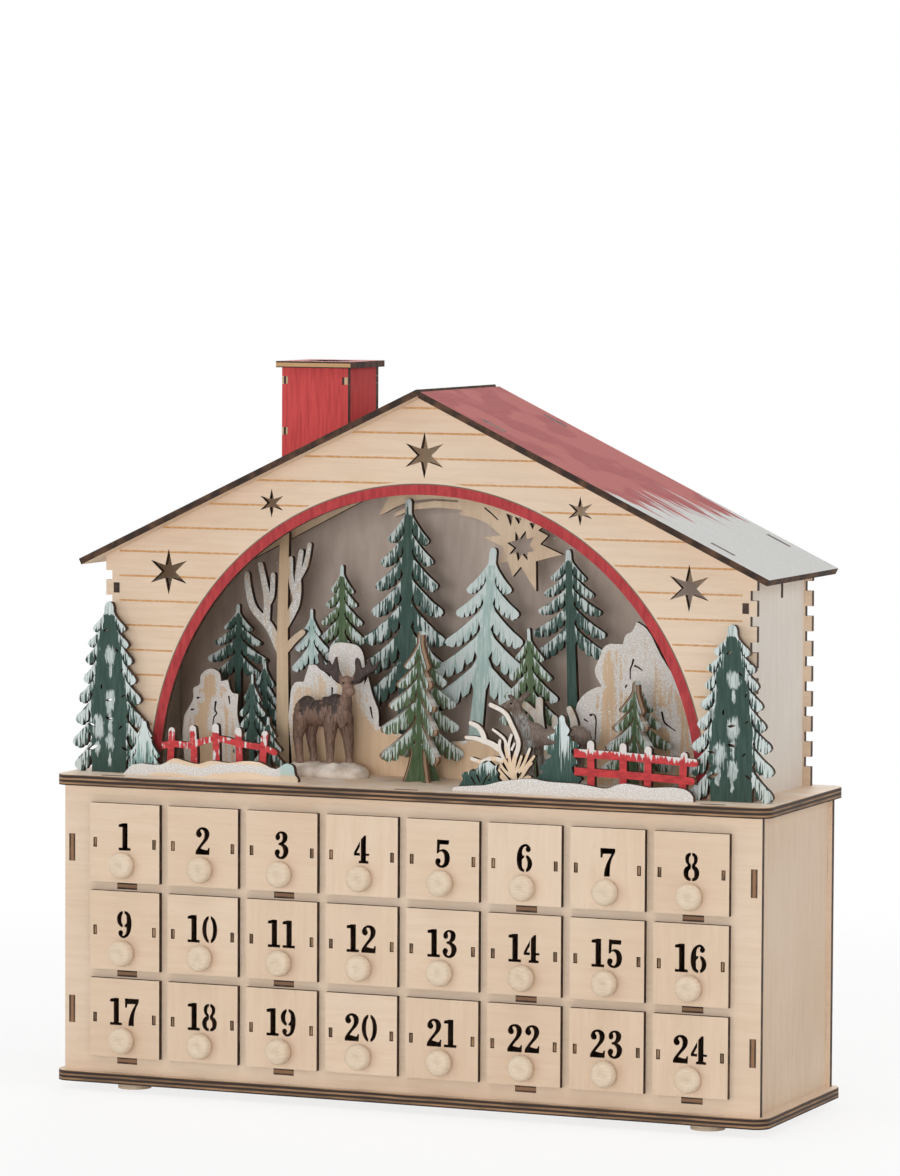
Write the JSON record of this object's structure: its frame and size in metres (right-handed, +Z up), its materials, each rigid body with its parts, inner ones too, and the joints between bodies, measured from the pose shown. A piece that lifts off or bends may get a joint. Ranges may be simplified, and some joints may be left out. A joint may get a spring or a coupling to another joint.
{
  "type": "wooden advent calendar",
  "caption": "Wooden advent calendar: a gabled house with an arched winter scene on a chest of small numbered drawers that slide out.",
  "frame": {"origin": "under the middle of the object's box, on the plane the feet stand on", "axes": "+X to the right along the drawers, +Y to the back, +Z up; the drawers face -Y"},
  "size_m": [0.358, 0.118, 0.346],
  "materials": {
    "birch_ply": "matt, bare",
    "roof_red": "matt paint",
    "sky_taupe": "matt paint",
    "rock_snow": "matt paint",
    "spruce_green": "matt paint",
    "frost_green": "matt paint",
    "moose_brown": "matt paint",
    "doe_brown": "matt paint"
  },
  "bodies": {
    "house": {"base_board": "birch_ply", "feet": "birch_ply", "chest_front": "birch_ply", "chest_back": "birch_ply", "chest_left_side": "birch_ply", "chest_right_side": "birch_ply", "drawer_shelves": "birch_ply", "drawer_dividers": "birch_ply", "deck_board": "birch_ply", "house_front": "birch_ply", "house_back": "birch_ply", "house_left_wall": "birch_ply", "house_right_wall": "birch_ply", "roof_left": "roof_red", "roof_right": "roof_red", "chimney_walls": "roof_red", "chimney_cap": "roof_red", "backdrop_panel": "sky_taupe", "comet_board": "birch_ply", "rocks": "rock_snow", "bare_tree": "birch_ply", "tall_spruce": "spruce_green", "left_spruce": "spruce_green", "green_spruce": "spruce_green", "right_spruce": "spruce_green", "pale_spruce": "frost_green", "small_spruces": "spruce_green", "cross_tree_large": "spruce_green", "cross_tree_small": "spruce_green", "moose": "moose_brown", "doe": "doe_brown", "fences": "roof_red", "snow_banks": "rock_snow", "shrubs": "frost_green", "corner_trees": "spruce_green"},
    "drawer_01_body": {"drawer_01": "birch_ply"},
    "drawer_02_body": {"drawer_02": "birch_ply"},
    "drawer_03_body": {"drawer_03": "birch_ply"},
    "drawer_04_body": {"drawer_04": "birch_ply"},
    "drawer_05_body": {"drawer_05": "birch_ply"},
    "drawer_06_body": {"drawer_06": "birch_ply"},
    "drawer_07_body": {"drawer_07": "birch_ply"},
    "drawer_08_body": {"drawer_08": "birch_ply"},
    "drawer_09_body": {"drawer_09": "birch_ply"},
    "drawer_10_body": {"drawer_10": "birch_ply"},
    "drawer_11_body": {"drawer_11": "birch_ply"},
    "drawer_12_body": {"drawer_12": "birch_ply"},
    "drawer_13_body": {"drawer_13": "birch_ply"},
    "drawer_14_body": {"drawer_14": "birch_ply"},
    "drawer_15_body": {"drawer_15": "birch_ply"},
    "drawer_16_body": {"drawer_16": "birch_ply"},
    "drawer_17_body": {"drawer_17": "birch_ply"},
    "drawer_18_body": {"drawer_18": "birch_ply"},
    "drawer_19_body": {"drawer_19": "birch_ply"},
    "drawer_20_body": {"drawer_20": "birch_ply"},
    "drawer_21_body": {"drawer_21": "birch_ply"},
    "drawer_22_body": {"drawer_22": "birch_ply"},
    "drawer_23_body": {"drawer_23": "birch_ply"},
    "drawer_24_body": {"drawer_24": "birch_ply"}
  },
  "joints": [
    {"name": "drawer_01_slide", "type": "slide", "parent": "house", "child": "drawer_01_body", "axis": [0, -1, 0], "range_m": [0, 0.075]},
    {"name": "drawer_02_slide", "type": "slide", "parent": "house", "child": "drawer_02_body", "axis": [0, -1, 0], "range_m": [0, 0.075]},
    {"name": "drawer_03_slide", "type": "slide", "parent": "house", "child": "drawer_03_body", "axis": [0, -1, 0], "range_m": [0, 0.075]},
    {"name": "drawer_04_slide", "type": "slide", "parent": "house", "child": "drawer_04_body", "axis": [0, -1, 0], "range_m": [0, 0.075]},
    {"name": "drawer_05_slide", "type": "slide", "parent": "house", "child": "drawer_05_body", "axis": [0, -1, 0], "range_m": [0, 0.075]},
    {"name": "drawer_06_slide", "type": "slide", "parent": "house", "child": "drawer_06_body", "axis": [0, -1, 0], "range_m": [0, 0.075]},
    {"name": "drawer_07_slide", "type": "slide", "parent": "house", "child": "drawer_07_body", "axis": [0, -1, 0], "range_m": [0, 0.075]},
    {"name": "drawer_08_slide", "type": "slide", "parent": "house", "child": "drawer_08_body", "axis": [0, -1, 0], "range_m": [0, 0.075]},
    {"name": "drawer_09_slide", "type": "slide", "parent": "house", "child": "drawer_09_body", "axis": [0, -1, 0], "range_m": [0, 0.075]},
    {"name": "drawer_10_slide", "type": "slide", "parent": "house", "child": "drawer_10_body", "axis": [0, -1, 0], "range_m": [0, 0.075]},
    {"name": "drawer_11_slide", "type": "slide", "parent": "house", "child": "drawer_11_body", "axis": [0, -1, 0], "range_m": [0, 0.075]},
    {"name": "drawer_12_slide", "type": "slide", "parent": "house", "child": "drawer_12_body", "axis": [0, -1, 0], "range_m": [0, 0.075]},
    {"name": "drawer_13_slide", "type": "slide", "parent": "house", "child": "drawer_13_body", "axis": [0, -1, 0], "range_m": [0, 0.075]},
    {"name": "drawer_14_slide", "type": "slide", "parent": "house", "child": "drawer_14_body", "axis": [0, -1, 0], "range_m": [0, 0.075]},
    {"name": "drawer_15_slide", "type": "slide", "parent": "house", "child": "drawer_15_body", "axis": [0, -1, 0], "range_m": [0, 0.075]},
    {"name": "drawer_16_slide", "type": "slide", "parent": "house", "child": "drawer_16_body", "axis": [0, -1, 0], "range_m": [0, 0.075]},
    {"name": "drawer_17_slide", "type": "slide", "parent": "house", "child": "drawer_17_body", "axis": [0, -1, 0], "range_m": [0, 0.075]},
    {"name": "drawer_18_slide", "type": "slide", "parent": "house", "child": "drawer_18_body", "axis": [0, -1, 0], "range_m": [0, 0.075]},
    {"name": "drawer_19_slide", "type": "slide", "parent": "house", "child": "drawer_19_body", "axis": [0, -1, 0], "range_m": [0, 0.075]},
    {"name": "drawer_20_slide", "type": "slide", "parent": "house", "child": "drawer_20_body", "axis": [0, -1, 0], "range_m": [0, 0.075]},
    {"name": "drawer_21_slide", "type": "slide", "parent": "house", "child": "drawer_21_body", "axis": [0, -1, 0], "range_m": [0, 0.075]},
    {"name": "drawer_22_slide", "type": "slide", "parent": "house", "child": "drawer_22_body", "axis": [0, -1, 0], "range_m": [0, 0.075]},
    {"name": "drawer_23_slide", "type": "slide", "parent": "house", "child": "drawer_23_body", "axis": [0, -1, 0], "range_m": [0, 0.075]},
    {"name": "drawer_24_slide", "type": "slide", "parent": "house", "child": "drawer_24_body", "axis": [0, -1, 0], "range_m": [0, 0.075]}
  ]
}
